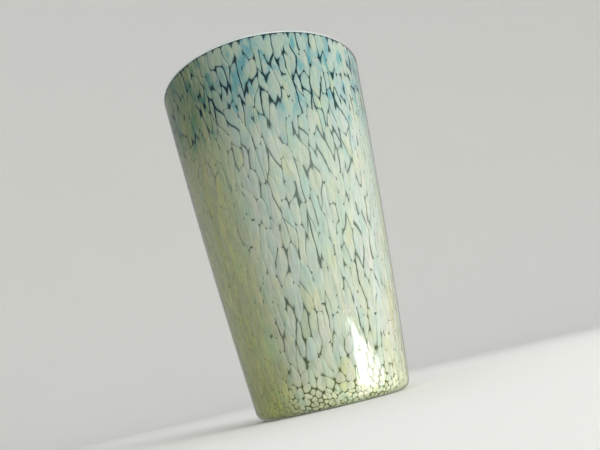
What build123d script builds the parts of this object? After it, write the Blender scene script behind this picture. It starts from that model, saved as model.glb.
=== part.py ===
from build123d import *
import math
import os
import random

# Hand blown vase of cased glass, in millimetres. +Z is up and the origin is the centre of the foot.
# A tinted first gather is rolled in coloured frit, cased in a second, clear gather, blown to a tapered
# beaker and finished on a punty. The frit softens into spots that lie in the seam between the gathers.

# Driving dimensions
HEIGHT = 250.0
MOUTH_RADIUS = 79.0
FOOT_RADIUS = 54.0
BELLY = 1.3  # how far the side bows out of a straight line at half height
HEEL_RADIUS = 8.0
CASING = 1.0  # the outer gather's thickness
SEAM = 1.2  # the room for the frit between the two gathers
WALL = 3.8  # the whole wall, both gathers and the seam
FLOOR = 14.0  # height of the inside floor
INSIDE_CORNER = 12.0
LIP = 1.8  # height of the clear lip above the frit
OUTER_LIP_ROUND = 0.7
INNER_LIP_ROUND = 1.1
PUNTY_RADIUS = 16.0
PUNTY_RISE = 0.4  # height of the ground dish where it leaves the punty glass
DISH_RISE = 1.3  # height of the ground dish at its centre
DISH_RADIUS = 18.5

# Frit
FRIT_SEED = 12
FRIT_THICKNESS = 0.3
FRIT_START = 21.0  # the innermost frit, along the profile from the foot's centre
BASE_ROWS = 2
HEEL_ROWS = 2
FOOT_PITCH = 9.0  # length of a spot just above the heel
SIDE_PITCH = 30.0  # length of a spot stretched on the side
STRETCH_SPAN = 60.0  # height over which the spots grow from the foot's size to the side's
FOOT_WIDTH = 9.0
SIDE_WIDTH = 11.5
CLOSED_GAP = 0.4  # the seam line where the frit ran together
OPEN_GAP = 1.8  # the seam line where it drew apart
JITTER = 0.3  # how far a spot strays from its place, as a share of its size

# Worked out from them
LEAN = (MOUTH_RADIUS - FOOT_RADIUS) / HEIGHT
COS_LEAN = math.cos(math.atan(LEAN))
SIN_LEAN = math.sin(math.atan(LEAN))
SEAM_DEPTH = CASING + SEAM / 2
SEAM_TURN = HEEL_RADIUS - SEAM_DEPTH  # radius of the seam's corner at the heel


def wall_radius(z, depth):
    """Radius of the side at height z, at this depth under the outer skin."""
    share = z / HEIGHT
    return FOOT_RADIUS + LEAN * z + BELLY * 4 * share * (1 - share) - depth / COS_LEAN


def corner(depth, floor, radius):
    """The foot of the side arc and the centre of the corner that joins a flat floor to the side."""
    z = floor + radius * (1 - SIN_LEAN)
    side = (wall_radius(z, depth), z)
    return side, (side[0] - radius * COS_LEAN, floor + radius)


def cup_line(depth, floor, radius, start=0.0, top=HEIGHT):
    """Edges from radius start on a flat floor, round the corner and up the side to the height top."""
    side, centre = corner(depth, floor, radius)
    turn = math.radians(-45) - math.atan(LEAN) / 2
    on_corner = (centre[0] + radius * math.cos(turn), centre[1] + radius * math.sin(turn))
    middle = (side[1] + top) / 2
    return [
        Line((start, floor), (centre[0], floor)),
        ThreePointArc((centre[0], floor), on_corner, side),
        ThreePointArc(side, (wall_radius(middle, depth), middle), (wall_radius(top, depth), top)),
    ]


def turned(edges):
    """The solid of revolution about Z of a closed outline of (radius, height) edges."""
    return revolve(Plane.XZ * make_face(Curve() + edges), Axis.Z)


def joined(*points):
    """Straight edges from point to point."""
    return [Line(a, b) for a, b in zip(points, points[1:])]


def lip_edge(solid, inner):
    """The rim's inner or outer circle."""
    circles = solid.edges().filter_by(GeomType.CIRCLE).group_by(Axis.Z)[-1].sort_by(SortBy.RADIUS)
    return circles[0] if inner else circles[-1]


def outer_casing():
    """The second gather: a thin cup with a hole in its foot for the punty's glass."""
    inside = CASING
    edges = cup_line(0, 0, HEEL_RADIUS, DISH_RADIUS)
    edges += joined((wall_radius(HEIGHT, 0), HEIGHT), (wall_radius(HEIGHT, inside), HEIGHT))
    edges += cup_line(inside, inside, HEEL_RADIUS - inside, PUNTY_RADIUS)
    edges += joined((PUNTY_RADIUS, inside), (PUNTY_RADIUS, PUNTY_RISE), (DISH_RADIUS, 0))
    cup = turned(edges)
    return fillet(lip_edge(cup, inner=False), OUTER_LIP_ROUND)


def first_gather():
    """The blown bubble: the inside wall and the thick floor, with a lip that closes the seam."""
    outside = CASING + SEAM
    lip = HEIGHT - LIP
    edges = cup_line(outside, outside, HEEL_RADIUS - outside, 0, lip)
    edges += joined((wall_radius(lip, outside), lip), (wall_radius(lip, CASING), lip))
    edges += joined((wall_radius(lip, CASING), lip), (wall_radius(HEIGHT, CASING), HEIGHT))
    edges += joined((wall_radius(HEIGHT, CASING), HEIGHT), (wall_radius(HEIGHT, WALL), HEIGHT))
    edges += cup_line(WALL, FLOOR, INSIDE_CORNER)
    edges += joined((0, FLOOR), (0, outside))
    cup = turned(edges)
    return fillet(lip_edge(cup, inner=True), INNER_LIP_ROUND)


def punty_glass():
    """The wad left by the punty iron, ground and polished to a shallow dish."""
    top = CASING + SEAM
    halfway = (PUNTY_RADIUS / 2, PUNTY_RISE + 0.75 * (DISH_RISE - PUNTY_RISE))
    edges = [ThreePointArc((0, DISH_RISE), halfway, (PUNTY_RADIUS, PUNTY_RISE))]
    edges += joined((PUNTY_RADIUS, PUNTY_RISE), (PUNTY_RADIUS, top), (0, top), (0, DISH_RISE))
    return turned(edges)


# The seam's middle surface, measured along its profile from the foot's centre
SEAM_SIDE, SEAM_CENTRE = corner(SEAM_DEPTH, SEAM_DEPTH, SEAM_TURN)
HEEL_START = SEAM_CENTRE[0]
HEEL_END = HEEL_START + SEAM_TURN * (math.pi / 2 - math.atan(LEAN))
FRIT_END = HEEL_END + (HEIGHT - LIP - SEAM_SIDE[1]) / COS_LEAN


def on_seam(s):
    """Radius, height, and the outward normal's radial and upward parts, s along the profile."""
    if s <= HEEL_START:
        return s, SEAM_DEPTH, 0.0, -1.0
    if s <= HEEL_END:
        turn = (s - HEEL_START) / SEAM_TURN
        out, up = math.sin(turn), -math.cos(turn)
        return SEAM_CENTRE[0] + SEAM_TURN * out, SEAM_CENTRE[1] + SEAM_TURN * up, out, up
    z = SEAM_SIDE[1] + (s - HEEL_END) * COS_LEAN
    lean = math.atan(LEAN + BELLY * 4 * (1 - 2 * z / HEIGHT) / HEIGHT)
    return wall_radius(z, SEAM_DEPTH), z, math.cos(lean), -math.sin(lean)


def seam_point(angle, s):
    """The point of the seam at this angle about the axis, s along the profile."""
    radius, height, _, _ = on_seam(s)
    return Vector(radius * math.cos(angle), radius * math.sin(angle), height)


def smooth(share):
    """0 below 0, 1 above 1, and a smooth rise between."""
    share = min(1.0, max(0.0, share))
    return share * share * (3 - 2 * share)


def pitch(s):
    """Length of a spot along the profile: short at the heel, stretched on the side."""
    if s < HEEL_START:
        return (HEEL_START - FRIT_START) / BASE_ROWS
    if s < HEEL_END:
        return (HEEL_END - HEEL_START) / HEEL_ROWS
    return FOOT_PITCH + (SIDE_PITCH - FOOT_PITCH) * smooth((s - HEEL_END) / STRETCH_SPAN)


def width(s):
    """Width of a spot round the vase."""
    return FOOT_WIDTH + (SIDE_WIDTH - FOOT_WIDTH) * smooth((s - HEEL_END) / STRETCH_SPAN)


def zone(s):
    """The stretch of profile that a spot keeps to: its own row on the foot and the heel, or the side."""
    for start, end in ((FRIT_START, HEEL_START), (HEEL_START, HEEL_END)):
        if start < s < end:
            row = int((s - start) / pitch(s))
            return start + row * pitch(s), start + (row + 1) * pitch(s)
    return HEEL_END, FRIT_END


def openness(angle, s):
    """From 0, where the frit ran together, to 1, where it drew apart. Drawn out most near the mouth."""
    up = max(0.0, (s - HEEL_END) / (FRIT_END - HEEL_END))
    closed_side = math.exp(-(((angle - math.radians(208) + math.pi) % math.tau - math.pi) / 0.62) ** 2)
    closed_back = math.exp(-(((angle - math.radians(18) + math.pi) % math.tau - math.pi) / 0.5) ** 2)
    waves = 0.12 * math.sin(3 * angle + up * 5) + 0.10 * math.sin(7 * angle - up * 9)
    mouth = smooth((up - 0.62) / 0.25)
    side = 0.45 + 0.55 * mouth + waves
    return min(1.0, max(0.0, side - (1 - mouth) * (0.62 * closed_side + 0.30 * closed_back)))


def frit_seeds(rng):
    """(angle, s) of every spot, in staggered and jittered rows from the foot to the lip."""
    rows = [FRIT_START + pitch(FRIT_START) / 2]
    while rows[-1] + 0.8 * pitch(rows[-1]) < FRIT_END:
        end = rows[-1] + pitch(rows[-1]) / 2
        rows.append(end + pitch(end + 0.01) / 2)
    seeds = []
    for n, s in enumerate(rows):
        count = round(math.tau * on_seam(s)[0] / width(s))
        stray = JITTER if s > HEEL_END + FOOT_PITCH else 0.0
        for k in range(count):
            angle = (k + n % 2 / 2 + rng.uniform(-JITTER, JITTER)) * math.tau / count
            seeds.append((angle % math.tau, s + rng.uniform(-stray, stray) * pitch(s)))
    return seeds


def clipped(polygon, nx, ny, limit):
    """The part of a convex polygon where x nx + y ny <= limit."""
    kept = []
    for (x0, y0), (x1, y1) in zip(polygon, polygon[1:] + polygon[:1]):
        d0, d1 = x0 * nx + y0 * ny - limit, x1 * nx + y1 * ny - limit
        if d0 <= 0:
            kept.append((x0, y0))
        if d0 * d1 < 0:
            t = d0 / (d0 - d1)
            kept.append((x0 + t * (x1 - x0), y0 + t * (y1 - y0)))
    return kept


def spot_outline(i, seeds):
    """Corners of spot i in its tangent plane: its share of the seam, less half of each gap round it."""
    angle, s = seeds[i]
    radius = on_seam(s)[0]
    reach_x, reach_y = 2.2 * width(s), 2.2 * pitch(s)
    outline = [(-reach_x, -reach_y), (reach_x, -reach_y), (reach_x, reach_y), (-reach_x, reach_y)]
    for j, (other_angle, other_s) in enumerate(seeds):
        turn = (other_angle - angle + math.pi) % math.tau - math.pi
        dx, dy = turn * (radius + on_seam(other_s)[0]) / 2, other_s - s
        if j == i or abs(dx) > 2 * reach_x or abs(dy) > 2 * reach_y:
            continue
        nx = dx / ((width(s) + width(other_s)) / 2) ** 2
        ny = dy / ((pitch(s) + pitch(other_s)) / 2) ** 2
        size = math.hypot(nx, ny)
        draw = random.Random(min(i, j) * len(seeds) + max(i, j)).random()
        spread = openness(angle + turn / 2, (s + other_s) / 2) * (0.35 + 1.1 * draw * draw)
        gap = CLOSED_GAP + (OPEN_GAP - CLOSED_GAP) * spread
        outline = clipped(outline, nx / size, ny / size, (nx * dx + ny * dy) / (2 * size) - gap / 2)
        if len(outline) < 3:
            return []
    low, high = zone(s)
    outline = clipped(outline, 0, 1, high - CLOSED_GAP - s)
    return clipped(outline, 0, -1, s - low - CLOSED_GAP)


def tidied(outline, shortest=0.5):
    """The outline without corners closer together than shortest."""
    kept = []
    for point in outline:
        if not kept or math.dist(point, kept[-1]) >= shortest:
            kept.append(point)
    while len(kept) > 3 and math.dist(kept[0], kept[-1]) < shortest:
        kept.pop()
    return kept


def spot(i, seeds):
    """One piece of frit: a thin flat plate in the seam, halfway between its middle's and corners' depths."""
    outline = tidied(spot_outline(i, seeds))
    if len(outline) < 3:
        return None
    angle, s = seeds[i]
    radius, _, out, up = on_seam(s)
    normal = Vector(out * math.cos(angle), out * math.sin(angle), up)
    around = Vector(-math.sin(angle), math.cos(angle), 0)
    place = Plane(seam_point(angle, s), x_dir=around, z_dir=normal)
    corners = [place.to_local_coords(seam_point(angle + x / radius, s + y)) for x, y in outline]
    depth = min(corner.Z for corner in corners) / 2
    face = make_face(Polyline(*[(corner.X, corner.Y) for corner in corners], close=True))
    return place * extrude(Pos(0, 0, depth - FRIT_THICKNESS / 2) * face, FRIT_THICKNESS, dir=(0, 0, 1))


def colour_of(angle, s, rng):
    """Which colour of frit lies here: blue and sea green by the mouth, amber by the foot."""
    up = (s - HEEL_END) / (FRIT_END - HEEL_END)
    by_mouth, by_foot = smooth((up - 0.55) / 0.3), smooth((0.34 - up) / 0.36)
    weights = {
        "frit_opal_cream": 0.46 - 0.14 * by_mouth - 0.16 * by_foot,
        "frit_sea_green": 0.22 + 0.26 * by_mouth - 0.10 * by_foot,
        "frit_sky_blue": 0.02 + 0.13 * by_mouth,
        "frit_lavender": 0.08,
        "frit_pale_yellow": 0.20 - 0.12 * by_mouth + 0.20 * by_foot,
        "frit_amber": 0.01 + 0.15 * smooth((0.10 - up) / 0.12),
    }
    return rng.choices(list(weights), list(weights.values()))[0]


def frit_spots():
    """Every spot's solid, listed under its colour's node."""
    rng = random.Random(FRIT_SEED)
    seeds = frit_seeds(rng)
    spots = {}
    for i, (angle, s) in enumerate(seeds):
        colour = colour_of(angle, s, rng)
        solid = spot(i, seeds)
        if solid is not None:
            spots.setdefault(colour, []).append(solid)
    return spots


def main():
    os.makedirs("parts", exist_ok=True)
    nodes = {
        "outer_casing": outer_casing(),
        "first_gather": first_gather(),
        "punty_glass": punty_glass(),
    }
    for colour, solids in frit_spots().items():
        nodes[colour] = Compound(children=solids)
        print(colour, len(solids), "spots")
    for name, shape in nodes.items():
        export_step(shape, f"parts/{name}.step")


main()
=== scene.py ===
import math
import random

import bpy
from mathutils import Matrix, Vector, noise


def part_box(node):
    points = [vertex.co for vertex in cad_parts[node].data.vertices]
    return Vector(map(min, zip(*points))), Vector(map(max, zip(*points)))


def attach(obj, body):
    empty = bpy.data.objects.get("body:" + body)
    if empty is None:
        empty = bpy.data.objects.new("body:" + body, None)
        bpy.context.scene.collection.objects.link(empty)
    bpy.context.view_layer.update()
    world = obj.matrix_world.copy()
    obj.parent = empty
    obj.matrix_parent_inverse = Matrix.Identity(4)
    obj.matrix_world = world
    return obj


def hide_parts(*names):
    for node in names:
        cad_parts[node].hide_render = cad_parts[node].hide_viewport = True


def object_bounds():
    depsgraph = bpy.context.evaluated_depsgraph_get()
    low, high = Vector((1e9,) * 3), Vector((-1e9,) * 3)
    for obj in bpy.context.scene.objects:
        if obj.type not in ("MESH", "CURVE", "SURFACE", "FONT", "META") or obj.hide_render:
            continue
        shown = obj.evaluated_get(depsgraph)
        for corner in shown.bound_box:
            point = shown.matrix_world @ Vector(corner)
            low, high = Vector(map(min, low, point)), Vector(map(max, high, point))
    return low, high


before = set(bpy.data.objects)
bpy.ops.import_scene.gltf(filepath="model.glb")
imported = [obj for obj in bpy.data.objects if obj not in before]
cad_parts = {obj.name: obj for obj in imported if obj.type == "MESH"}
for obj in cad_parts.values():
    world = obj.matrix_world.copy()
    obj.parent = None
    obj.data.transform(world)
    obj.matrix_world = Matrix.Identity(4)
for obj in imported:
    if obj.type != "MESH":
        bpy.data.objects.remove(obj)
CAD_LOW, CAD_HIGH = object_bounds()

# Hand blown vase of cased glass, in metres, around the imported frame. +Z is up and the origin is the
# centre of the foot. Every piece is a body of revolution, or a spot of frit laid on one.

MM = 0.001

# The glass, on the frame's own sizes
HEIGHT = CAD_HIGH.z
MOUTH_RADIUS = 79.0 * MM
FOOT_RADIUS = 54.0 * MM
BELLY = 1.3 * MM  # how far the side bows out of a straight line at half height
HEEL_RADIUS = 8.0 * MM
CASING = 1.0 * MM  # the clear outer gather's thickness
SEAM = 1.2 * MM  # the room for the frit between the two gathers
WALL = 3.8 * MM
FLOOR = 14.0 * MM  # height of the inside floor
INSIDE_CORNER = 12.0 * MM
LIP = 1.1 * MM  # height of the clear lip above the frit
OUTER_LIP_ROUND = 0.7 * MM
INNER_LIP_ROUND = 1.1 * MM
PUNTY_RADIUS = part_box("punty_glass")[1].x
PUNTY_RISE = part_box("punty_glass")[0].z
PUNTY_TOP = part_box("punty_glass")[1].z
DISH_RISE = 1.3 * MM
DISH_RADIUS = 18.5 * MM
WAVE = 0.14 * MM  # how far the blown skin dips below the true shape
TRIM = 0.02 * MM  # keeps the smooth skin inside the frame's box, whose CAD has flat facets

# The frit
FRIT_SEED = 23
FRIT_START = 20.0 * MM  # the innermost frit, along the profile from the foot's centre
BASE_PITCH = 7.5 * MM
HEEL_PITCH = 2.9 * MM
SIDE_PITCH = 15.5 * MM  # length of a spot stretched on the side
MOUTH_PITCH = 13.5 * MM  # and near the mouth, where it was drawn less
STRETCH_SPAN = 34.0 * MM  # height over which the spots grow from the heel's size to the side's
BASE_SPAN = 14.0 * MM  # and the way over which they grow again, inwards under the foot
BASE_WIDTH = 6.0 * MM
FOOT_WIDTH = 3.4 * MM
SIDE_WIDTH = 5.2 * MM
MOUTH_WIDTH = 4.7 * MM
NEIGHBOURS = 4.4  # how far round a spot its neighbours are looked for, in spots
LOST = 0.07  # share of the spots on the side whose neighbours spread over them
CLOSED_GAP = -0.30 * MM  # neighbours that ran together overlap
OPEN_GAP = 2.2 * MM  # the widest gap on the side
FOOT_GAP = 0.72 * MM  # and at the foot
JITTER = 0.40  # how far a spot strays from its place in the rows, in spots
HEEL_JITTER = 0.56
SLENDER = 1.6  # how much more the glass was drawn along the axis than the spots' spacing shows
TAPER_ROUND = 2.2 * MM  # how far a gap that opens at a corner reaches along the sides round the vase
TAPER_ALONG = 7.0 * MM  # and along the sides that run up it
WARP = 1.7 * MM  # how far the blowing swirled the pattern
SKIN = 0.35 * MM  # the clear glass over the frit, which looks thinner from outside than it is
FRONT_DEPTH = SKIN + 0.09 * MM
RIM_DEPTH = SKIN + 0.22 * MM
BACK_DEPTH = SKIN + 0.60 * MM
BRIM_DEPTH = SKIN + 0.02 * MM
SUNK = 0.04 * MM  # how far the spots' rims stand out of the gather that they sank into
MOST_POINTS = 26  # round a spot
LEAST_POINTS = 12
POINT_SPACING = 1.25 * MM
SIDE_STEP = 1.1 * MM  # between the points that give a gap its width along a side

# (degrees about the axis, half the width in degrees) of sides of the vase
# The first closed side is also where the opal layer takes its olive colour with painted light and shade
CLOSED_SIDES = ((205, 38), (0, 34))  # where the frit ran together; the first is also more olive
# The pale side is where the opal layer takes painted light towards the mouth
PALE_PAINTED_LIGHT_SIDE = (-5, 45)

LEAN = (MOUTH_RADIUS - FOOT_RADIUS) / HEIGHT
LEAN_ANGLE = math.atan(LEAN)
SEAM_DEPTH = CASING + SEAM / 2


def smooth(share):
    """0 below 0, 1 above 1, and a smooth rise between."""
    share = min(1.0, max(0.0, share))
    return share * share * (3 - 2 * share)


# Profiles


def wall_radius(z, depth):
    """Radius of the side at height z, at this depth under the outer skin."""
    share = z / HEIGHT
    return FOOT_RADIUS + LEAN * z + BELLY * 4 * share * (1 - share) - depth / math.cos(LEAN_ANGLE)


def corner(depth, floor, radius):
    """The foot of the side and the centre of the corner that joins a flat floor to the side."""
    z = floor + radius * (1 - math.sin(LEAN_ANGLE))
    side = (wall_radius(z, depth), z)
    return side, (side[0] - radius * math.cos(LEAN_ANGLE), floor + radius)


def cup_line(depth, floor, radius, start, top, rows):
    """Points from radius start on a flat floor, round the corner and up the side to the height top."""
    side, centre = corner(depth, floor, radius)
    points = [(start + (centre[0] - start) * k / 8, floor) for k in range(8)]
    for k in range(13):
        turn = -math.pi / 2 + (math.pi / 2 - LEAN_ANGLE) * k / 12
        points.append((centre[0] + radius * math.cos(turn), centre[1] + radius * math.sin(turn)))
    for k in range(1, rows + 1):
        z = side[1] + (top - side[1]) * k / rows
        points.append((wall_radius(z, depth), z))
    return points


def lip_round(depth, size, outer):
    """Points of the lip's rounded edge, from the side towards the flat top."""
    z = HEIGHT - size
    centre = wall_radius(z, depth) + (-size if outer else size)
    points = []
    for k in range(1, 7):
        turn = math.pi / 2 * k / 6
        reach = size * math.cos(turn) * (1 if outer else -1)
        points.append((centre + reach, z + size * math.sin(turn)))
    return points


# Where the seam's middle surface runs, measured along its profile from the foot's centre
SEAM_TURN = HEEL_RADIUS - SEAM_DEPTH
SEAM_SIDE, SEAM_CENTRE = corner(SEAM_DEPTH, SEAM_DEPTH, SEAM_TURN)
HEEL_START = SEAM_CENTRE[0]
HEEL_END = HEEL_START + SEAM_TURN * (math.pi / 2 - LEAN_ANGLE)
FRIT_END = HEEL_END + (HEIGHT - LIP - SEAM_SIDE[1]) / math.cos(LEAN_ANGLE) - 0.2 * MM


def on_seam(s):
    """Radius, height, and the outward normal's radial and upward parts, s along the profile."""
    if s <= HEEL_START:
        return s, SEAM_DEPTH, 0.0, -1.0
    if s <= HEEL_END:
        turn = (s - HEEL_START) / SEAM_TURN
        out, up = math.sin(turn), -math.cos(turn)
        return SEAM_CENTRE[0] + SEAM_TURN * out, SEAM_CENTRE[1] + SEAM_TURN * up, out, up
    z = SEAM_SIDE[1] + (s - HEEL_END) * math.cos(LEAN_ANGLE)
    return wall_radius(z, SEAM_DEPTH), z, math.cos(LEAN_ANGLE), -math.sin(LEAN_ANGLE)


def seam_point(angle, s, depth):
    """The point at this angle about the axis, s along the profile and depth under the outer skin."""
    radius, height, out, up = on_seam(s)
    radius += (SEAM_DEPTH - depth) * out
    height += (SEAM_DEPTH - depth) * up
    return radius * math.cos(angle), radius * math.sin(angle), height


# Meshes


def piece(name, points, faces, slots, materials, replaced):
    """A shaded mesh object that rides on the vase and stands for the CAD node."""
    mesh = bpy.data.meshes.new(name)
    mesh.from_pydata(points, [], faces)
    for material in materials:
        mesh.materials.append(material)
    mesh.polygons.foreach_set("material_index", slots)
    mesh.polygons.foreach_set("use_smooth", [True] * len(faces))
    mesh.set_sharp_from_angle(angle=math.radians(50))
    mesh.validate()
    obj = bpy.data.objects.new(name, mesh)
    bpy.context.collection.objects.link(obj)
    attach(obj, "root")
    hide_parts(replaced)
    return obj


def skin_wave(x, y, z):
    """How far the blown skin dips here, from 0 to WAVE: long soft flutes with smaller ripples."""
    flutes = noise.noise(Vector((x * 55, y * 55, z * 16)))
    ripples = noise.noise(Vector((x * 150 + 7, y * 150, z * 50)))
    return WAVE * min(1.0, max(0.0, 0.5 + 0.45 * flutes + 0.16 * ripples))


ON_AXIS = 1e-9  # a radius below this is a point on the axis


def lathe(outline, segments, fluted=()):
    """Points, faces and slots of the surface that the outline of (radius, height, slot) sweeps round Z. The
    outline closes on itself unless it starts on the axis. Its fluted rows dip in the skin's soft waves."""
    points, rings = [], []
    for k, (radius, height, _) in enumerate(outline):
        if radius < ON_AXIS:
            rings.append([len(points)] * segments)
            points.append((0.0, 0.0, height))
            continue
        rings.append(list(range(len(points), len(points) + segments)))
        for n in range(segments):
            angle = math.tau * n / segments
            x, y = radius * math.cos(angle), radius * math.sin(angle)
            if k in fluted:
                shrink = 1 - skin_wave(x, y, height) / radius
                x, y = x * shrink, y * shrink
            points.append((x, y, height))
    from_axis = outline[0][0] < ON_AXIS
    count = len(rings) - 1 if from_axis else len(rings)
    faces, slots = [], []
    for k in range(count):
        below, above = rings[k], rings[(k + 1) % len(rings)]
        for n in range(segments):
            m = (n + 1) % segments
            ring = [below[n], below[m], above[m], above[n]]
            face = [p for i, p in enumerate(ring) if p != ring[i - 1]]
            faces.append(face)
            slots.append(outline[k][2])
    return points, faces, slots


# Shaders


def new_material(name):
    material = bpy.data.materials.new(name)
    material.use_nodes = True
    material.node_tree.nodes.clear()
    return material


class Nodes:
    """Short ways to add and join a material's nodes."""

    def __init__(self, material):
        self.tree = material.node_tree

    def add(self, kind, inputs=None, **settings):
        node = self.tree.nodes.new(kind)
        for name, value in settings.items():
            setattr(node, name, value)
        for name, value in (inputs or {}).items():
            if isinstance(value, bpy.types.NodeSocket):
                self.tree.links.new(value, node.inputs[name])
            else:
                node.inputs[name].default_value = value
        return node

    def maths(self, operation, *values):
        """The result of a Math node."""
        return self.add("ShaderNodeMath", dict(enumerate(values)), operation=operation).outputs[0]

    def span(self, value, low, high, to_low=0.0, to_high=1.0):
        """value's place between low and high, smoothed, as a number between to_low and to_high."""
        inputs = {"Value": value, "From Min": low, "From Max": high, "To Min": to_low, "To Max": to_high}
        return self.add("ShaderNodeMapRange", inputs, interpolation_type="SMOOTHSTEP").outputs["Result"]

    def place(self):
        """Where the point is on the vase, in metres from the foot's centre."""
        return self.add("ShaderNodeTexCoord").outputs["Object"]

    def height(self):
        """Height up the vase, from 0 at the foot to 1 at the lip."""
        parts = self.add("ShaderNodeSeparateXYZ", {"Vector": self.place()})
        return self.maths("DIVIDE", parts.outputs["Z"], HEIGHT)

    def grain(self, across, along, detail=2.0, offset=(0.0, 0.0, 0.0)):
        """Noise in features this many metres across, and along the vase's axis."""
        mapping = self.add(
            "ShaderNodeMapping",
            {"Vector": self.place(), "Scale": (1 / across, 1 / across, 1 / along), "Location": offset},
        )
        inputs = {"Vector": mapping.outputs[0], "Scale": 1.0, "Detail": detail, "Roughness": 0.55}
        return self.add("ShaderNodeTexNoise", inputs).outputs[0]

    def blend(self, share, a, b, how="MIX"):
        """Colour a, changed towards b by share, or towards a times b where how is MULTIPLY."""
        node = self.add("ShaderNodeMix", data_type="RGBA", blend_type=how)
        for socket, value in ((node.inputs[0], share), (node.inputs[6], a), (node.inputs[7], b)):
            if isinstance(value, bpy.types.NodeSocket):
                self.tree.links.new(value, socket)
            else:
                socket.default_value = value
        return node.outputs[2]

    def ramp(self, value, stops):
        """A colour for each value, from stops of (place, colour)."""
        node = self.add("ShaderNodeValToRGB", {"Fac": value})
        elements = node.color_ramp.elements
        while len(elements) < len(stops):
            elements.new(0.5)
        for element, (position, colour) in zip(elements, stops):
            element.position = position
            element.color = colour
        return node.outputs["Color"]

    def mixed(self, share, a, b):
        """Shader a, changed towards shader b by share."""
        return self.add("ShaderNodeMixShader", {0: share, 1: a, 2: b}).outputs[0]

    def output(self, kind, **inputs):
        """The first output of a new node, whose inputs are named with _ for a space."""
        named = {name.replace("_", " "): value for name, value in inputs.items()}
        return self.add("ShaderNode" + kind, named).outputs[0]

    def finish(self, shader):
        self.add("ShaderNodeOutputMaterial", {"Surface": shader})


def rgb(r, g, b):
    return (r, g, b, 1.0)


# The tinted gather, from the foot to the lip: what a look through it takes out of the light
GATHER_TINT = [
    (0.0, rgb(0.62, 0.68, 0.46)),
    (0.15, rgb(0.66, 0.74, 0.62)),
    (0.6, rgb(0.60, 0.72, 0.68)),
    (0.990, rgb(0.50, 0.66, 0.67)),
    (0.996, rgb(0.92, 0.97, 0.98)),
]

# The dark glass seen in the gaps between the frit, darkened with painted shade of the unlit inside, near
# black by the mouth
SEAM_SMOKE_AND_SHADE = [
    (0.0, rgb(0.17, 0.19, 0.06)),
    (0.2, rgb(0.13, 0.17, 0.13)),
    (0.66, rgb(0.17, 0.21, 0.18)),
    (0.81, rgb(0.008, 0.024, 0.030)),
]

# The frit's colour beside a gap, and where it thins out at the gap, by height. The second also carries
# painted shade of the unlit inside seen through the gap, near black by the mouth.
HALO = [
    (0.0, rgb(0.36, 0.37, 0.12)),
    (0.3, rgb(0.38, 0.42, 0.34)),
    (0.65, rgb(0.28, 0.38, 0.36)),
    (0.85, rgb(0.06, 0.26, 0.32)),
]
GAP_THIN_AND_SHADE = [
    (0.0, rgb(0.18, 0.20, 0.07)),
    (0.25, rgb(0.19, 0.23, 0.18)),
    (0.66, rgb(0.21, 0.26, 0.22)),
    (0.82, rgb(0.008, 0.022, 0.026)),
]

# Painted light and shade by height: the opal layer is lighter at the foot and darker up the vase
PAINTED_LIGHT_BY_HEIGHT = [
    (0.0, rgb(1.38, 1.36, 1.14)),
    (0.05, rgb(1.22, 1.20, 1.06)),
    (0.12, rgb(1.01, 1.01, 1.01)),
    (0.35, rgb(0.95, 0.96, 0.98)),
    (0.66, rgb(0.83, 0.87, 0.90)),
    (1.0, rgb(0.84, 0.88, 0.90)),
]

# What tints the opal layer on its olive side, by height: its olive colour, with painted light and shade that
# set how bright that side is
OLIVE_AND_PAINTED_LIGHT = [
    (0.03, rgb(0.78, 0.77, 0.34)),
    (0.15, rgb(1.00, 0.96, 0.50)),
    (0.45, rgb(1.20, 1.11, 0.70)),
    (0.72, rgb(1.17, 1.02, 0.63)),
    (0.90, rgb(0.68, 0.69, 0.38)),
]

# And what lifts it on its pale side: a paler colour, with painted light towards the mouth
PALE_AND_PAINTED_LIGHT = [
    (0.62, rgb(1.13, 1.06, 1.13)),
    (0.84, rgb(1.30, 1.20, 1.26)),
]

# Painted shade that darkens it towards the mouth, with a cool tint
MOUTH_PAINTED_SHADE = rgb(0.68, 0.745, 0.755)

# The milk of the frit that ran together, by height
VEIL = [
    (0.0, rgb(0.60, 0.62, 0.32)),
    (0.25, rgb(0.68, 0.70, 0.50)),
    (0.8, rgb(0.66, 0.72, 0.60)),
]

# The opal layer's own colours, which drifted through each other as it was blown
CREAM = rgb(0.67, 0.67, 0.575)
MINT = rgb(0.55, 0.63, 0.57)
LAVENDER = rgb(0.64, 0.61, 0.64)
YELLOW = rgb(0.67, 0.655, 0.44)
BLUE = rgb(0.12, 0.44, 0.51)

# And the thin streaks drawn out in it
SMOKE_THREAD = rgb(0.36, 0.38, 0.36)
WARM_THREAD = rgb(0.62, 0.60, 0.36)
GREEN_STREAK = rgb(0.28, 0.34, 0.29)

DULL_SPOT = rgb(0.30, 0.36, 0.32)  # what the duller spots turn towards
HEAD_ON_GLOSS = 0.04  # what glass reflects when looked at straight on


def towards(nodes, degrees, reach):
    """1 on the side of the vase that faces this way, falling to 0 a little beyond reach degrees from it."""
    flat = nodes.add("ShaderNodeVectorMath", {0: nodes.place(), 1: (1, 1, 0)}, operation="MULTIPLY")
    out = nodes.add("ShaderNodeVectorMath", {0: flat.outputs[0]}, operation="NORMALIZE").outputs[0]
    turn = math.radians(degrees)
    facing = (math.cos(turn), math.sin(turn), 0)
    dot = nodes.add("ShaderNodeVectorMath", {0: out, 1: facing}, operation="DOT_PRODUCT").outputs["Value"]
    none, full = math.radians(reach * 1.25), math.radians(reach * 0.6)
    return nodes.span(dot, math.cos(none), math.cos(full))


def run_together(nodes):
    """From 0 where the frit drew apart to 1 on the two sides where it ran together below the mouth."""
    side = nodes.maths("MAXIMUM", *(towards(nodes, *closed) for closed in CLOSED_SIDES))
    ragged = nodes.span(nodes.grain(12 * MM, 50 * MM), 0, 1, -0.12, 0.12)
    height = nodes.maths("ADD", nodes.height(), ragged)
    return nodes.maths("MULTIPLY", side, nodes.span(height, 0.84, 0.74))


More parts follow.
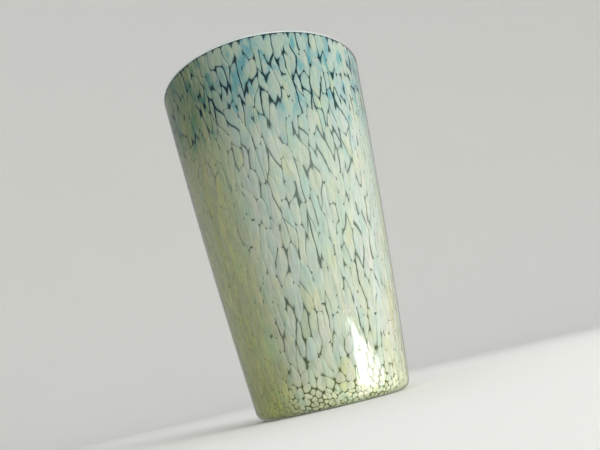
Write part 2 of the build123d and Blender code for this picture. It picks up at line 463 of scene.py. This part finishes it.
def polished_skin(nodes, tint, roughness, bump_height):
    """Clear glass: what is behind it shows through, under a Fresnel gloss on a faintly rippled skin."""
    ripple = nodes.grain(7 * MM, 18 * MM, 3.0)
    drawn_lines = nodes.maths("MULTIPLY", nodes.grain(2.2 * MM, 30 * MM), 0.45)
    relief = nodes.maths("ADD", ripple, drawn_lines)
    bump = nodes.output("Bump", Height=relief, Distance=bump_height, Strength=1.0)
    gloss = nodes.output("BsdfGlossy", Color=rgb(1, 1, 1), Roughness=roughness, Normal=bump)
    weight = nodes.add("ShaderNodeLayerWeight", {"Blend": 0.5, "Normal": bump})
    grazing = nodes.maths("POWER", weight.outputs["Facing"], 5.0)
    mirror = nodes.maths("MULTIPLY_ADD", grazing, 1 - HEAD_ON_GLOSS, HEAD_ON_GLOSS)
    return nodes.mixed(mirror, tint, gloss)


def casing_materials():
    """The clear casing's polished skin, and its inner face, which is fused to the frit."""
    skin = new_material("casing_skin")
    nodes = Nodes(skin)
    clear = nodes.output("BsdfTransparent", Color=rgb(0.97, 0.985, 0.975))
    # Painted highlight: a pale band at the lip's edge stands for the light it catches
    painted_lip_glint = nodes.output("BsdfDiffuse", Color=rgb(0.76, 0.84, 0.86))
    lip = nodes.span(nodes.height(), 0.9945, 0.9975, 0.0, 0.7)
    nodes.finish(polished_skin(nodes, nodes.mixed(lip, clear, painted_lip_glint), 0.045, 0.16 * MM))

    fused = new_material("casing_fused_face")
    nodes = Nodes(fused)
    clear = nodes.output("BsdfTransparent", Color=rgb(0.98, 0.99, 0.985))
    milk = nodes.output("BsdfDiffuse", Color=nodes.ramp(nodes.height(), VEIL))
    streaks = nodes.span(nodes.grain(4 * MM, 30 * MM, 4.0), 0.35, 0.7, 0.0, 0.6)
    veil = nodes.maths("MULTIPLY", run_together(nodes), streaks)
    nodes.finish(nodes.mixed(veil, clear, milk))
    return skin, fused


def gather_materials():
    """The tinted bubble: its polished inside, and its outer face, which the frit sank into, painted dark with
    shade where the gaps show it.
    """
    inside = new_material("gather_polished_inside")
    nodes = Nodes(inside)
    tint = nodes.output("BsdfTransparent", Color=nodes.ramp(nodes.height(), GATHER_TINT))
    nodes.finish(polished_skin(nodes, tint, 0.03, 0.10 * MM))

    fused = new_material("gather_fused_face")
    nodes = Nodes(fused)
    height = nodes.height()
    tint = nodes.output("BsdfTransparent", Color=nodes.ramp(height, GATHER_TINT))
    # Painted shade: a dark film for the unlit inside seen through the gaps
    smoke_and_shade = nodes.output("BsdfDiffuse", Color=nodes.ramp(height, SEAM_SMOKE_AND_SHADE))
    nodes.finish(nodes.mixed(nodes.span(height, 0.10, 0.80, 0.72, 0.95), tint, smoke_and_shade))
    return inside, fused


def punty_material():
    material = new_material("punty_ground_glass")
    nodes = Nodes(material)
    tint = nodes.output("BsdfTransparent", Color=rgb(0.72, 0.82, 0.70))
    nodes.finish(polished_skin(nodes, tint, 0.12, 0.05 * MM))
    return material


def opal(nodes):
    """The opal layer's colour here: clouds drawn out along the axis, with fine streaks in them, and painted
    light and shade by height and by side.
    """
    height = nodes.height()
    green = nodes.grain(7 * MM, 24 * MM, 3.0)
    colour = nodes.blend(nodes.span(green, 0.36, 0.64), CREAM, MINT)
    grey = nodes.grain(9 * MM, 22 * MM, 3.0, (5.1, 2.3, 0.7))
    colour = nodes.blend(nodes.span(grey, 0.54, 0.74, 0.0, 0.7), colour, LAVENDER)
    gold = nodes.grain(10 * MM, 26 * MM, 3.0, (1.3, 8.2, 4.1))
    colour = nodes.blend(nodes.span(gold, 0.50, 0.72, 0.0, 0.75), colour, YELLOW)
    sky = nodes.span(nodes.grain(8 * MM, 16 * MM, 2.0, (7.7, 3.9, 2.6)), 0.50, 0.66, 0.0, 0.85)
    sky = nodes.maths("MULTIPLY", sky, nodes.span(height, 0.66, 0.84, 0.10, 1.0))
    colour = nodes.blend(sky, colour, BLUE)
    # Painted shade towards the mouth
    colour = nodes.blend(nodes.span(height, 0.62, 0.90), colour, MOUTH_PAINTED_SHADE, "MULTIPLY")
    # Painted light and shade by height
    colour = nodes.blend(1.0, colour, nodes.ramp(height, PAINTED_LIGHT_BY_HEIGHT), "MULTIPLY")
    # The olive side and the pale side take painted light and shade along with their tints
    for side, tints_and_light in ((CLOSED_SIDES[0], OLIVE_AND_PAINTED_LIGHT), (PALE_PAINTED_LIGHT_SIDE, PALE_AND_PAINTED_LIGHT)):
        colour = nodes.blend(towards(nodes, *side), colour, nodes.ramp(height, tints_and_light), "MULTIPLY")
    threads = nodes.grain(3 * MM, 26 * MM, 3.0, (3.3, 6.1, 1.9))
    colour = nodes.blend(nodes.span(threads, 0.45, 0.70, 0.0, 0.30), colour, SMOKE_THREAD)
    warm = nodes.grain(2.4 * MM, 20 * MM, 3.0, (2.2, 9.4, 5.5))
    colour = nodes.blend(nodes.span(warm, 0.50, 0.72, 0.0, 0.42), colour, WARM_THREAD)
    streaks = nodes.grain(1.3 * MM, 14 * MM, 4.0)
    return nodes.blend(nodes.span(streaks, 0.40, 0.72, 0.0, 0.42), colour, GREEN_STREAK)


def frit_material(name, tint):
    """Opal glass frit, thinner and darker where it drew back from a gap, with painted shade where it thins
    out.
    """
    material = new_material(name)
    nodes = Nodes(material)
    spot = nodes.add("ShaderNodeAttribute", attribute_name="spot")
    parts = nodes.add("ShaderNodeSeparateColor", {"Color": spot.outputs["Color"]})
    tone, rim, spread = parts.outputs[0], parts.outputs[1], parts.outputs[2]
    height = nodes.height()
    colour = nodes.blend(1.0, opal(nodes), tint, "MULTIPLY")
    colour = nodes.blend(nodes.span(tone, 0.0, 1.0, 0.0, 0.08), colour, DULL_SPOT)
    halo = nodes.maths("MULTIPLY", nodes.span(rim, 0.1, 0.9), nodes.span(spread, 0.08, 0.55, 0.0, 0.85))
    colour = nodes.blend(halo, colour, nodes.ramp(height, HALO))
    # Painted shade where the frit thins out at a gap
    thin_and_shaded = nodes.maths("MULTIPLY", nodes.span(rim, 0.5, 1.0), nodes.span(spread, 0.08, 0.4, 0.0, 0.85))
    colour = nodes.blend(thin_and_shaded, colour, nodes.ramp(height, GAP_THIN_AND_SHADE))
    relief = nodes.grain(1.6 * MM, 6 * MM, 3.0)
    bump = nodes.output("Bump", Height=relief, Distance=0.1 * MM, Strength=0.6)
    finish = {"Base_Color": colour, "Roughness": 0.45, "Specular_IOR_Level": 0.15, "Normal": bump}
    nodes.finish(nodes.output("BsdfPrincipled", **finish))
    return material


# Each colour of frit, as a tint of the opal layer
FRIT = {
    "opal_cream": rgb(1.02, 1.02, 1.0),
    "sea_green": rgb(0.93, 1.0, 0.975),
    "sky_blue": rgb(0.88, 0.96, 1.0),
    "lavender": rgb(0.98, 0.97, 1.0),
    "pale_yellow": rgb(1.0, 1.0, 0.94),
    "amber": rgb(0.97, 0.95, 0.78),
}


# The pieces of glass


def tagged(points, slot):
    """The points as rows of an outline, all in this material slot."""
    return [(radius, height, slot) for radius, height in points]


def outer_casing():
    """The clear second gather: an outer skin with soft flutes, and the face that lies on the frit."""
    skin = cup_line(TRIM, 0, HEEL_RADIUS, DISH_RADIUS, HEIGHT - OUTER_LIP_ROUND, 110)
    skin += lip_round(TRIM, OUTER_LIP_ROUND, outer=True)
    face = cup_line(SKIN, SKIN, HEEL_RADIUS - SKIN, PUNTY_RADIUS, HEIGHT, 60)
    outline = tagged(skin, 0) + tagged(face[::-1], 1) + tagged([(PUNTY_RADIUS, PUNTY_RISE)], 0)
    fluted = range(18, len(skin) - 7)  # from the heel's turn to just under the lip's
    points, faces, slots = lathe(outline, 288, fluted)
    return piece("casing_shell", points, faces, slots, casing_materials(), "outer_casing")


def first_gather():
    """The tinted bubble with its thick floor and the lip that closes the seam."""
    depth = RIM_DEPTH + SUNK
    lip = HEIGHT - LIP
    face = cup_line(depth, depth, HEEL_RADIUS - depth, 0, lip, 30)
    brim = [(wall_radius(z, BRIM_DEPTH), z) for z in (lip, HEIGHT)]
    edge = lip_round(WALL, INNER_LIP_ROUND, outer=False)[::-1]
    inside = cup_line(WALL, FLOOR, INSIDE_CORNER, 0, HEIGHT - INNER_LIP_ROUND, 60)
    outline = tagged(face, 1) + tagged(brim + edge, 0) + tagged(inside[::-1], 0)
    points, faces, slots = lathe(outline, 192)
    return piece("gather_bubble", points, faces, slots, gather_materials(), "first_gather")


def punty_glass():
    """The wad left by the punty iron, ground and polished to a shallow dish."""
    dish = []
    for k in range(13):
        share = k / 12
        dish.append((PUNTY_RADIUS * share, PUNTY_RISE + (DISH_RISE - PUNTY_RISE) * (1 - share * share)))
    outline = tagged(dish + [(PUNTY_RADIUS, PUNTY_TOP), (0, PUNTY_TOP)], 0)
    points, faces, slots = lathe(outline, 96)
    return piece("punty_dish", points, faces, slots, [punty_material()], "punty_glass")


# The spots of frit


def share_up(s):
    """How far up the side s lies, from 0 at the heel to 1 at the lip."""
    return (s - HEEL_END) / (FRIT_END - HEEL_END)


def near_mouth(s):
    """From 0 on the side to 1 in the band by the mouth, where the frit was drawn apart."""
    return smooth((share_up(s) - 0.62) / 0.2)


def pitch(s):
    """Length of a spot along the profile: short at the heel, stretched on the side."""
    if s < HEEL_START:
        return HEEL_PITCH + (BASE_PITCH - HEEL_PITCH) * smooth((HEEL_START - s) / BASE_SPAN)
    side = SIDE_PITCH + (MOUTH_PITCH - SIDE_PITCH) * near_mouth(s)
    return HEEL_PITCH + (side - HEEL_PITCH) * smooth((s - HEEL_END + 4 * MM) / STRETCH_SPAN)


def width(s):
    """Width of a spot round the vase."""
    if s < HEEL_START:
        return FOOT_WIDTH + (BASE_WIDTH - FOOT_WIDTH) * smooth((HEEL_START - s) / BASE_SPAN)
    side = SIDE_WIDTH + (MOUTH_WIDTH - SIDE_WIDTH) * near_mouth(s)
    return FOOT_WIDTH + (side - FOOT_WIDTH) * smooth((s - HEEL_START) / STRETCH_SPAN)


def drawn(s):
    """Length of a spot for the shape of its ends, which the blowing drew out to points."""
    stretch = smooth((s - HEEL_END) / STRETCH_SPAN)
    return pitch(s) * (1 + (SLENDER - 1) * stretch)


def openness(angle, s):
    """From 0, where the frit ran together, to 1, where it drew apart, as it did most near the mouth."""
    up = max(0.0, share_up(s))
    closed = 0.0
    for degrees, reach in CLOSED_SIDES:
        turn = (angle - math.radians(degrees) + math.pi) % math.tau - math.pi
        closed = max(closed, smooth((reach * 1.5 - abs(math.degrees(turn))) / reach))
    around = Vector((math.cos(angle), math.sin(angle), 0))
    patches = noise.noise(around * 2.2 + Vector((0, 0, up * 3.5)))
    breaks = noise.noise(around * 11 + Vector((0, 0, s * 55)))
    mouth = smooth((up - 0.68) / 0.16)
    side = 0.70 + 0.16 * mouth
    side += (0.40 * patches + 0.60 * breaks) * (1 - 0.4 * mouth)
    return min(1.0, max(0.0, side - (1 - smooth((up - 0.72) / 0.1)) * 0.75 * closed))


def frit_seeds(rng):
    """(angle, s) of every spot, in staggered and jittered rows from the foot to the lip."""
    rows = [FRIT_START + pitch(FRIT_START) / 2]
    while rows[-1] + pitch(rows[-1]) < FRIT_END:
        rows.append(rows[-1] + pitch(rows[-1]))
    seeds = []
    for n, s in enumerate(rows):
        count = round(math.tau * on_seam(s)[0] / width(s))
        jitter = JITTER + (HEEL_JITTER - JITTER) * smooth((HEEL_END + 12 * MM - s) / (8 * MM))
        for k in range(count):
            angle = (k + n % 2 / 2 + rng.uniform(-1, 1) * jitter) * math.tau / count
            rise = rng.uniform(-1, 1) * jitter * pitch(s)
            if s < HEEL_END or rng.random() > LOST:
                seeds.append((angle % math.tau, s + rise))
    return seeds


def clipped(polygon, nx, ny, limit, beyond):
    """The part of a convex polygon where x nx + y ny <= limit. Each corner holds (x, y, neighbour), where
    neighbour is the spot beyond the side that starts there."""
    kept = []
    for (x0, y0, own), (x1, y1, _) in zip(polygon, polygon[1:] + polygon[:1]):
        d0, d1 = x0 * nx + y0 * ny - limit, x1 * nx + y1 * ny - limit
        if d0 <= 0:
            kept.append((x0, y0, own))
        if d0 * d1 < 0:
            t = d0 / (d0 - d1)
            kept.append((x0 + t * (x1 - x0), y0 + t * (y1 - y0), beyond if d0 <= 0 else own))
    return kept


def cell(i, seeds):
    """Spot i's whole share of the seam, round its seed, as (x, y, neighbour) corners."""
    angle, s = seeds[i]
    radius = on_seam(s)[0]
    far_x, far_y = NEIGHBOURS * width(s), NEIGHBOURS * pitch(s)
    half_x, half_y = far_x / 2, far_y / 2
    corners = [(-half_x, -half_y, -1), (half_x, -half_y, -1), (half_x, half_y, -1), (-half_x, half_y, -1)]
    for j, (other_angle, other_s) in enumerate(seeds):
        dy = other_s - s
        turn = (other_angle - angle + math.pi) % math.tau - math.pi
        if j == i or abs(dy) > far_y or abs(turn) * radius > far_x:
            continue
        dx = turn * (radius + on_seam(other_s)[0]) / 2
        nx = dx / ((width(s) + width(other_s)) / 2) ** 2
        ny = dy / ((drawn(s) + drawn(other_s)) / 2) ** 2
        corners = clipped(corners, nx, ny, (nx * dx + ny * dy) / 2, j)
    corners = clipped(corners, 0, 1, FRIT_END - s, -2)
    return clipped(corners, 0, -1, s - FRIT_START, -3)


def chance(*spots):
    """A number from 0 to 1 that belongs to these spots' meeting, whichever of them asks."""
    return random.Random(str(sorted(spots))).random()


def faded(share):
    """How much of a corner's gap is left, this share of the way to where it has tapered out."""
    return max(0.0, 1 - share) ** 2


def spot_outline(i, seeds):
    """Points round spot i: its cell, drawn back by half of each gap. Gaps are widest where spots meet in
    a corner and taper away along the sides. Each point holds (x, y, spread), spread being 1 at the widest."""
    angle, s = seeds[i]
    radius = on_seam(s)[0]
    corners = cell(i, seeds)
    widest = FOOT_GAP + (OPEN_GAP - FOOT_GAP) * smooth(share_up(s) / 0.55)
    by_mouth = near_mouth(s)
    points = []
    for n, (x0, y0, beyond) in enumerate(corners):
        x1, y1, after = corners[(n + 1) % len(corners)]
        length = math.hypot(x1 - x0, y1 - y0)
        if length < 0.02 * MM:
            continue
        along, across = abs(y1 - y0) / length, abs(x1 - x0) / length
        taper = TAPER_ALONG * along + TAPER_ROUND * across
        start = chance(i, corners[n - 1][2], beyond) ** (1.6 + 0.5 * by_mouth)
        end = chance(i, beyond, after) ** (1.6 + 0.5 * by_mouth)
        side = (0.62 - 0.14 * by_mouth) * chance(i, beyond) ** 1.7
        drawn_out = smooth((s - HEEL_END) / STRETCH_SPAN) * (1 - 0.75 * by_mouth)
        upright = 1 - drawn_out * (1 - smooth((along - 0.35) / 0.45))
        steps = max(2, math.ceil(length / SIDE_STEP))
        for k in range(steps):
            t = (k + 0.5) / steps
            x, y = x0 + t * (x1 - x0), y0 + t * (y1 - y0)
            spread = max(side, start * faded(t * length / taper), end * faded((1 - t) * length / taper))
            spread *= openness(angle + x / radius, s + y) * upright
            back = (CLOSED_GAP + (widest - CLOSED_GAP) * spread) / 2
            points.append((x - back * (y1 - y0) / length, y + back * (x1 - x0) / length, spread))
    for _ in range(2):
        around = zip(points[-1:] + points[:-1], points, points[1:] + points[:1])
        points = [tuple((p + 2 * q + r) / 4 for p, q, r in zip(*three)) for three in around]
    return points


def between(a, b, share):
    """What lies this share of the way from a to b."""
    return tuple(p + share * (q - p) for p, q in zip(a, b))


def resampled(outline):
    """The outline in points spaced evenly round it."""
    lengths = [math.dist(a[:2], b[:2]) for a, b in zip(outline, outline[1:] + outline[:1])]
    count = min(MOST_POINTS, max(LEAST_POINTS, round(sum(lengths) / POINT_SPACING)))
    step = sum(lengths) / count
    points, k, done = [], 0, 0.0
    for n in range(count):
        while k < len(lengths) - 1 and done + lengths[k] < n * step:
            done += lengths[k]
            k += 1
        share = (n * step - done) / max(lengths[k], 1e-9)
        points.append(between(outline[k], outline[(k + 1) % len(outline)], share))
    return points


def swirled(angle, s):
    """Where a point of the pattern went as the vase was blown and turned."""
    near = Vector((math.cos(angle) * 5.5, math.sin(angle) * 5.5, s * 32))
    fine = Vector((math.cos(angle) * 17, math.sin(angle) * 17, s * 95))
    finest = Vector((math.cos(angle) * 42, math.sin(angle) * 42, s * 260))
    calm = smooth((s - HEEL_END) / (20 * MM)) * smooth((FRIT_END - s) / (12 * MM))
    radius = on_seam(s)[0]
    dx = noise.noise(near) * 1.6 + noise.noise(fine) * 0.6 + noise.noise(finest) * 0.28
    dy = noise.noise(near + Vector((9, 4, 2))) * 1.6
    return angle + calm * WARP * dx / radius, s + calm * WARP * dy


# The rings of points in front of a spot's rim, as (size, nearness to the rim, share of the rim's depth)
RINGS = ((0.86, 0.50, 0.30), (0.50, 0.0, 0.0))


def add_spot(build, outline, angle, s, tone):
    """Adds one spot's closed lens of glass to build's points, faces and colours. A colour holds the spot's
    tone, the nearness to its rim and the spread of the gap there, for the material."""
    points, faces, colours = build
    radius = on_seam(s)[0]
    count = len(outline)
    middle = tuple(sum(point[axis] for point in outline) / count for axis in range(3))

    def put(point, size, depth, rim):
        x, y, spread = between(middle, point, size)
        points.append(seam_point(*swirled(angle + x / radius, s + y), depth))
        colours.append((tone, rim, spread, 1.0))

    base = len(points)
    for point in outline:
        put(point, 1.0, RIM_DEPTH, 1.0)
    for size, rim, share in RINGS:
        for point in outline:
            put(point, size, FRONT_DEPTH + (RIM_DEPTH - FRONT_DEPTH) * share, rim)
    behind = len(points)
    for point in outline:
        put(point, 0.8, BACK_DEPTH, 0.3)
    front, back = len(points), len(points) + 1
    put(middle, 0.0, FRONT_DEPTH, 0.0)
    put(middle, 0.0, BACK_DEPTH, 0.0)
    inner = base + len(RINGS) * count
    for n in range(count):
        m = (n + 1) % count
        for ring in range(base, inner, count):
            faces.append((ring + n, ring + m, ring + count + m, ring + count + n))
        faces.append((inner + n, inner + m, front))
        faces.append((base + m, base + n, behind + n, behind + m))
        faces.append((behind + m, behind + n, back))


def colour_of(angle, s, rng):
    """Which colour of frit lies here: blue and sea green by the mouth, amber by the foot."""
    up = share_up(s)
    by_mouth, by_foot = smooth((up - 0.55) / 0.3), smooth((0.34 - up) / 0.36)
    patch = noise.noise(Vector((math.cos(angle) * 1.6, math.sin(angle) * 1.6, up * 3 + 5)))
    weights = {
        "opal_cream": 0.46 - 0.14 * by_mouth - 0.16 * by_foot,
        "sea_green": max(0.02, 0.22 + 0.26 * by_mouth - 0.10 * by_foot + 0.25 * patch),
        "sky_blue": 0.02 + 0.13 * by_mouth,
        "lavender": 0.09,
        "pale_yellow": max(0.02, 0.20 - 0.12 * by_mouth + 0.20 * by_foot - 0.25 * patch),
        "amber": 0.01 + 0.15 * smooth((0.10 - up) / 0.12),
    }
    return rng.choices(list(weights), list(weights.values()))[0]


def frit():
    """One piece for each colour of frit, with all its spots."""
    rng = random.Random(FRIT_SEED)
    seeds = frit_seeds(rng)
    builds = {colour: ([], [], []) for colour in FRIT}
    for i, (angle, s) in enumerate(seeds):
        colour = colour_of(angle, s, rng)
        tone = rng.random()
        rng.random()  # only keeps the draws of the spots that follow as they are
        add_spot(builds[colour], resampled(spot_outline(i, seeds)), angle, s, tone)
    for colour, (points, faces, colours) in builds.items():
        slot = colour + "_frit"
        materials = [frit_material(slot, FRIT[colour])]
        slots = [0] * len(faces)
        obj = piece(colour + "_spots", points, faces, slots, materials, "frit_" + colour)
        layer = obj.data.color_attributes.new("spot", "FLOAT_COLOR", "POINT")
        layer.data.foreach_set("color", [part for four in colours for part in four])


# Floor, light and camera


def studio():
    """A pale floor that sweeps up into a wall all round, so that every view has the same background."""
    reach, bend, top = 1.5, 0.9, 2.6
    drop = 0.02 * MM  # keeps the paper just clear of the foot
    outline = [(reach * k / 12, 0.0) for k in range(13)]
    for k in range(1, 25):
        turn = math.pi / 2 * k / 24
        outline.append((reach + bend * math.sin(turn), bend * (1 - math.cos(turn))))
    outline.append((reach + bend, top))
    points, faces, _ = lathe([(r, z - drop, 0) for r, z in outline], 128)
    mesh = bpy.data.meshes.new("studio_sweep")
    mesh.from_pydata(points, [], faces)
    mesh.polygons.foreach_set("use_smooth", [True] * len(faces))
    material = new_material("studio_paper")
    nodes = Nodes(material)
    paper = {"Base_Color": rgb(0.90, 0.90, 0.88), "Roughness": 0.9, "Specular_IOR_Level": 0.1}
    nodes.finish(nodes.output("BsdfPrincipled", **paper))
    mesh.materials.append(material)
    sweep = bpy.data.objects.new("studio_sweep", mesh)
    bpy.context.collection.objects.link(sweep)
    sweep.visible_glossy = False


def area_light(name, place, target, size, power, colour):
    """A square softbox that the camera doesn't see."""
    light = bpy.data.lights.new(name, "AREA")
    light.shape = "SQUARE"
    light.size = size
    light.energy = power
    light.color = colour
    lamp = bpy.data.objects.new(name, light)
    bpy.context.collection.objects.link(lamp)
    lamp.location = place
    lamp.rotation_euler = (Vector(target) - Vector(place)).to_track_quat("-Z", "Y").to_euler()
    lamp.visible_camera = False
    return lamp


def card(name, corners, build):
    """A flat sheet in the studio that the camera doesn't see, with the material that build makes."""
    mesh = bpy.data.meshes.new(name)
    mesh.from_pydata([tuple(corner) for corner in corners], [], [range(len(corners))])
    material = new_material(name)
    build(Nodes(material))
    material.cycles.emission_sampling = "NONE"
    mesh.materials.append(material)
    sheet = bpy.data.objects.new(name, mesh)
    bpy.context.collection.objects.link(sheet)
    sheet.visible_camera = sheet.visible_transmission = False
    return sheet


def window_glow(nodes):
    """Brightest a little under the window's top edge, and dimmer towards the floor and the far side."""
    place = nodes.add("ShaderNodeSeparateXYZ", {"Vector": nodes.place()}).outputs
    top = nodes.span(place["Z"], -0.01, -0.08, 10.0, 16.0)
    low = nodes.span(place["Z"], -0.10, -0.16, 1.0, 0.4)
    far_side = nodes.span(place["Y"], -0.42, -0.18, 1.0, 0.5)
    strength = nodes.maths("MULTIPLY", nodes.maths("MULTIPLY", top, low), far_side)
    nodes.finish(nodes.output("Emission", Color=rgb(1.0, 1.0, 1.0), Strength=strength))


def black_cloth(nodes):
    nodes.finish(nodes.output("BsdfDiffuse", Color=rgb(0.02, 0.02, 0.02)))


def window_card():
    """A bright card to the right, lower than the foot, that only gloss sees: a window's reflection."""
    away = 0.6
    facing, aside, up = Vector((0.883, -0.469, 0)), Vector((0.469, 0.883, 0)), Vector((0, 0, 1))
    left = ((-0.25, -0.01), (-0.235, -0.06), (-0.26, -0.13), (-0.27, -0.68))
    right = ((0.16, -0.68), (0.19, -0.07))
    corners = [facing * away + aside * a + up * z for a, z in left + right]
    window = card("window_card", corners, window_glow)
    window.visible_diffuse = window.visible_shadow = False


def dark_flag():
    """A black cloth to the left, which keeps that side of the glass in shade as a studio flag does."""
    aside, near, far, top = -0.75, -0.50, 0.25, 0.50
    edge = ((near, 0.0), (far, 0.0), (far, top), (near, top))
    card("dark_flag", [(aside, y, z) for y, z in edge], black_cloth)


def lights():
    """Even air, dimmer in reflections, with a soft key light on the right and a weak one overhead."""
    world = bpy.data.worlds.new("studio_air")
    bpy.context.scene.world = world
    world.use_nodes = True
    world.node_tree.nodes.clear()
    nodes = Nodes(world)
    air_colour = rgb(0.985, 0.99, 1.0)
    air = nodes.output("Background", Color=air_colour, Strength=0.60)
    reflected = nodes.output("Background", Color=air_colour, Strength=0.30)
    glossy = nodes.add("ShaderNodeLightPath").outputs["Is Glossy Ray"]
    nodes.add("ShaderNodeOutputWorld", {"Surface": nodes.mixed(glossy, air, reflected)})
    middle, softbox = (0, 0, HEIGHT * 0.4), 0.9  # what the lights aim at, and their size
    key = area_light("key", (1.035, -0.80, 0.30), middle, softbox, 18.2, (1.0, 0.985, 0.955))
    key.visible_glossy = False
    area_light("overhead", (0, 0.1, 1.3), middle, softbox, 2.8, (0.98, 0.99, 1.0))


def camera():
    """The photograph's viewpoint: near the foot's level, tilted up and turned so that the vase leans."""
    distance, rise = 0.427, 0.0155
    yaw, pitch_up, roll = 0.0115, 0.268, -0.229
    ahead, level = Vector((math.sin(yaw), math.cos(yaw), 0)), Vector((math.cos(yaw), -math.sin(yaw), 0))
    forward = ahead * math.cos(pitch_up) + Vector((0, 0, math.sin(pitch_up)))
    upright = level.cross(forward)
    right = math.cos(roll) * level + math.sin(roll) * upright
    up = math.cos(roll) * upright - math.sin(roll) * level
    data = bpy.data.cameras.new("camera")
    data.lens, data.sensor_width = 35, 36
    data.clip_start, data.clip_end = 0.002, 20
    cam = bpy.data.objects.new("camera", data)
    bpy.context.collection.objects.link(cam)
    turn = Matrix((right, up, -forward)).transposed().to_4x4()
    cam.matrix_world = Matrix.Translation((0, -distance, rise)) @ turn
    bpy.context.scene.camera = cam


def main():
    outer_casing()
    first_gather()
    punty_glass()
    frit()
    studio()
    window_card()
    dark_flag()
    lights()
    camera()
    bpy.context.scene.view_settings.view_transform = "Standard"
    bpy.context.scene.cycles.transparent_max_bounces = 24


main()
